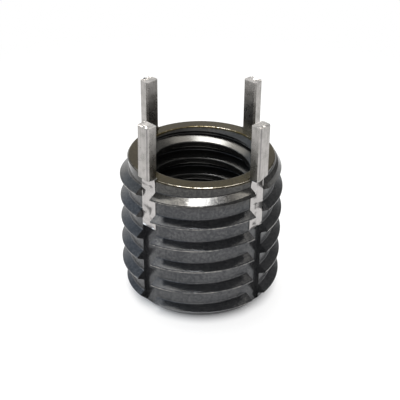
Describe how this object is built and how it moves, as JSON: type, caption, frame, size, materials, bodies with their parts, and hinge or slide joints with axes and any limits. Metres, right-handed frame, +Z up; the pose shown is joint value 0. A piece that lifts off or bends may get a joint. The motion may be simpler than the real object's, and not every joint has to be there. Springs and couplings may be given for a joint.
{
  "type": "keyed insert",
  "caption": "Threaded steel bush with bright locking keys standing in slots through its outer thread, screwed into soft metal to give a strong inner thread.",
  "frame": {"origin": "middle of the bottom end face", "axes": "+Z up along the axis toward the standing keys, keys on X and Y"},
  "size_m": [0.0154, 0.0154, 0.0195],
  "materials": {
    "black_steel": "black oxide, oiled, worn bright along the thread crests",
    "bright_steel": "bright drawn stainless steel, lightly scratched"
  },
  "bodies": {
    "body": {"insert_body": "black_steel"},
    "key_front": {"key_front": "bright_steel"},
    "key_right": {"key_right": "bright_steel"},
    "key_back": {"key_back": "bright_steel"},
    "key_left": {"key_left": "bright_steel"}
  },
  "joints": [
    {"name": "key_front_slide", "type": "slide", "parent": "body", "child": "key_front", "axis": [0, 0, -1], "range_m": [0, 0.00525]},
    {"name": "key_right_slide", "type": "slide", "parent": "body", "child": "key_right", "axis": [0, 0, -1], "range_m": [0, 0.00525]},
    {"name": "key_back_slide", "type": "slide", "parent": "body", "child": "key_back", "axis": [0, 0, -1], "range_m": [0, 0.00525]},
    {"name": "key_left_slide", "type": "slide", "parent": "body", "child": "key_left", "axis": [0, 0, -1], "range_m": [0, 0.00525]}
  ]
}
